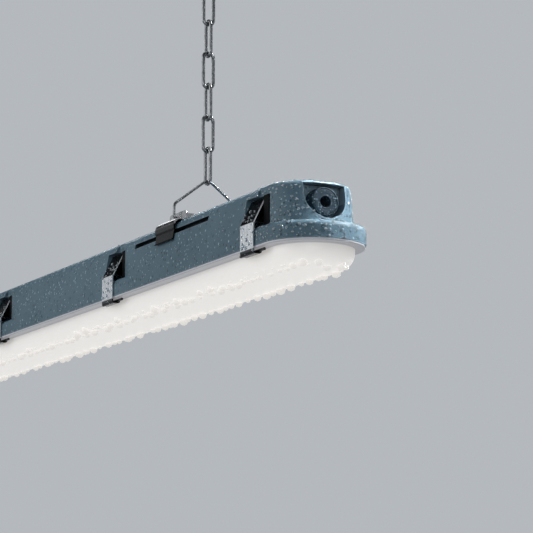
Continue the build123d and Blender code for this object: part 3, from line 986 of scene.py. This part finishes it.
def makeGland(name, node, plan):
    low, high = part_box(node)
    axis = (low.z + high.z) / 2
    outer = (high.y - low.y) / 2
    corners = [vertex.co for vertex in cadNodes[node].data.vertices]
    spots = [(co.x, math.hypot(co.y, co.z - axis)) for co in corners]
    stemRadius = max(radius for x, radius in spots if abs(x - low.x) < plan["touching"])
    seat = min(x for x, radius in spots if radius > stemRadius + plan["flangeStep"])
    profile = glandFront(plan, high.x, outer)
    profile += [(seat, outer), (seat, stemRadius)]
    profile += [(low.x, stemRadius), (low.x, plan["holeRadius"])]
    turned = bmesh.new()
    ring = [turned.verts.new((x, 0, axis + radius)) for x, radius in profile]
    edges = [turned.edges.new((ring[n - 1], ring[n])) for n in range(len(ring))]
    bmesh.ops.spin(
        turned, geom=ring + edges, cent=(0, 0, axis), axis=(1, 0, 0), dvec=(0, 0, 0),
        angle=2 * math.pi, steps=plan["turns"], use_merge=False,
    )
    bmesh.ops.remove_doubles(turned, verts=turned.verts[:], dist=plan["weld"])
    bmesh.ops.recalc_face_normals(turned, faces=turned.faces[:])
    mesh = closeMesh(name, turned)
    mesh.shade_smooth()
    mesh.set_sharp_from_angle(angle=math.radians(plan["sharpAngle"]))
    mesh.materials.append(finishes["glandRubber"])
    gland = placeMesh(name, mesh)
    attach(gland, "fixture")
    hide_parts(node)


makeGland("ribbedGland", "cable_gland", glandPlan)

# clip toes: the legs' lower ends, bent out below the slot
toePlan = {
    "high": -0.2597,
    "low": -0.2674,
    "lip": 0.0013,
    "sheet": 0.0011,
    "wallGap": 0.0006,
    "sideInset": 0.0010,
}


# how far out the housing's leaning wall stands at a height
def wallOut(height):
    foot = housingFinish["wallInside"] + housingFinish["wallSkin"]
    return foot - housingFinish["wallSlope"] * (height - housingFinish["rimTop"])


def makeToes(name, clip, body, plan):
    low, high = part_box(clip)
    run = (low.x + plan["sideInset"], high.x - plan["sideInset"])
    inner = [(wallOut(level) + plan["wallGap"], level) for level in (plan["high"], plan["low"])]
    inner.append((inner[1][0] + plan["lip"], plan["low"] - plan["lip"]))
    outer = [(out + plan["sheet"], level) for out, level in inner]
    outline = inner + outer[::-1]
    count = len(outline)
    toes = bmesh.new()
    for side in (-1, 1):
        rows = [[toes.verts.new((x, side * out, level)) for out, level in outline] for x in run]
        for n in range(count):
            after = (n + 1) % count
            toes.faces.new((rows[0][n], rows[0][after], rows[1][after], rows[1][n]))
        for row in rows:
            for n in range(len(inner) - 1):
                toes.faces.new((row[n], row[n + 1], row[count - 2 - n], row[count - 1 - n]))
    bmesh.ops.recalc_face_normals(toes, faces=toes.faces[:])
    mesh = closeMesh(name, toes)
    mesh.materials.append(finishes["clipSteel"])
    piece = placeMesh(name, mesh)
    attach(piece, body)


for side in ("left", "right"):
    makeToes(f"clipToes_{side}", f"suspension_clip_{side}", f"clip_{side}", toePlan)

# camera at the photograph's viewing angle, measured from the near tip of the rim
cameraPlan = {
    "yaw": 28.11,
    "lookUp": 10.42,
    "distance": 1.855,
    "sideStep": 0.0581,
    "rise": 0.0230,
    "lens": 155.35,
    "sensor": 36.0,
    "farEnd": 200.0,
}


def placeCamera(plan):
    low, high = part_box("housing")
    tip = Vector((high.x, 0, low.z))
    yaw, lookUp = math.radians(plan["yaw"]), math.radians(plan["lookUp"])
    level = math.cos(lookUp)
    forward = Vector((-math.cos(yaw) * level, math.sin(yaw) * level, math.sin(lookUp)))
    right = Vector((math.sin(yaw), math.cos(yaw), 0))
    up = right.cross(forward)
    eye = tip - forward * plan["distance"] - right * plan["sideStep"] - up * plan["rise"]
    lensData = bpy.data.cameras.new("viewCamera")
    lensData.lens = plan["lens"]
    lensData.sensor_width = plan["sensor"]
    lensData.clip_end = plan["farEnd"]
    camera = bpy.data.objects.new("viewCamera", lensData)
    scene.collection.objects.link(camera)
    turn = Matrix((right, up, -forward)).transposed().to_4x4()
    camera.matrix_world = Matrix.Translation(eye) @ turn
    scene.camera = camera


placeCamera(cameraPlan)

# stage: pale floor far below, soft lamps and a plain pale backdrop
stagePlan = {
    "floorDrop": 6.0,
    "floorReach": 150.0,
    "floorTone": (0.52, 0.54, 0.56),
    "floorRoughness": 0.8,
    "floorGlow": 0.6,
    "backdrop": (0.46, 0.485, 0.51),
    "upper": (0.030, 0.033, 0.037),
    "upperFade": (0.26, 0.40),
    "fill": (0.36, 0.38, 0.40),
}
lampPlans = {
    "endSoftbox": {
        "from": (1.24, 1.34, 1.32), "at": (0.63, 0.02, -0.275), "size": 0.6,
        "power": 4.3, "spread": 20.0, "tint": (0.94, 0.975, 1.0),
    },
    "frontSoftbox": {
        "from": (-0.6, -2.6, 0.5), "at": (0.25, 0.0, -0.27), "size": 3.4,
        "power": 46.5, "spread": 180.0, "tint": (1.0, 0.99, 0.98),
    },
    "recessSoftbox": {
        "from": (2.3, -0.9, -0.40), "at": (0.6, 0.0, -0.27), "size": 1.0,
        "power": 6.6, "spread": 180.0, "tint": (0.96, 0.98, 1.0),
    },
    "strapSoftbox": {
        "from": (-1.41, -0.97, 0.10), "at": (0.42, -0.05, -0.28), "size": 0.9,
        "power": 0.45, "spread": 180.0, "tint": (0.98, 0.99, 1.0),
    },
    "rearSoftbox": {
        "from": (-1.96, 0.78, 0.80), "at": (0.3, 0.0, -0.25), "size": 0.7,
        "power": 5.0, "spread": 180.0, "tint": (0.96, 0.98, 1.0),
    },
    "topSoftbox": {
        "from": (0.3, 0.5, 2.2), "at": (0.2, 0.0, -0.25), "size": 3.0,
        "power": 42.0, "spread": 180.0, "tint": (0.96, 0.98, 1.0),
    },
}


# rays from the camera, and those with the ones that pieces mirror or pass on
def seenRays(tree):
    path = addNode(tree, "ShaderNodeLightPath")
    camera = path.outputs["Is Camera Ray"]
    either = larger(tree, camera, path.outputs["Is Glossy Ray"])
    return camera, larger(tree, either, path.outputs["Is Transmission Ray"])


def makeFloor(plan):
    mesh = bpy.data.meshes.new("studioFloor")
    reach, level = plan["floorReach"], -plan["floorDrop"]
    turns = ((-1, -1), (1, -1), (1, 1), (-1, 1))
    mesh.from_pydata([(x * reach, y * reach, level) for x, y in turns], [], [(0, 1, 2, 3)])
    floor = bpy.data.objects.new("studioFloor", mesh)
    scene.collection.objects.link(floor)
    material, tree, shader = startMaterial("paleFloor")
    setInputs(shader, Base_Color=(*plan["floorTone"], 1), Roughness=plan["floorRoughness"])
    glow = addNode(tree, "ShaderNodeEmission")
    setInputs(glow, Color=(*plan["backdrop"], 1))
    blend = addNode(tree, "ShaderNodeMixShader")
    feed(tree, blend, "Fac", times(tree, seenRays(tree)[1], plan["floorGlow"]))
    feed(tree, blend, 1, shader.outputs["BSDF"])
    feed(tree, blend, 2, glow.outputs["Emission"])
    feed(tree, tree.nodes["Material Output"], "Surface", blend.outputs["Shader"])
    mesh.materials.append(material)


def makeBackdrop(plan):
    world = bpy.data.worlds.new("studioWorld")
    world.use_nodes = True
    scene.world = world
    tree = world.node_tree
    camera, seen = seenRays(tree)
    lift = spread(tree, pointAxes(tree, "Generated")[2], plan["upperFade"])
    lift = times(tree, lift, minus(tree, 1.0, camera))
    shown = mixColour(tree, lift, plan["backdrop"], plan["upper"])
    feed(tree, tree.nodes["Background"], "Color", mixColour(tree, seen, plan["fill"], shown))


def placeLamp(name, plan):
    light = bpy.data.lights.new(name, "AREA")
    light.shape = "DISK"
    light.size = plan["size"]
    light.energy = plan["power"]
    light.color = plan["tint"]
    light.spread = math.radians(plan["spread"])
    lamp = bpy.data.objects.new(name, light)
    scene.collection.objects.link(lamp)
    start, aim = Vector(plan["from"]), Vector(plan["at"])
    turn = (aim - start).to_track_quat("-Z", "Y").to_matrix().to_4x4()
    lamp.matrix_world = Matrix.Translation(start) @ turn
    lamp.visible_camera = False


makeFloor(stagePlan)
makeBackdrop(stagePlan)
for lampName, lampPlan in lampPlans.items():
    placeLamp(lampName, lampPlan)
scene.view_settings.view_transform = "Standard"
print("stage set:", len(lampPlans), "lamps")

bpy.context.view_layer.update()
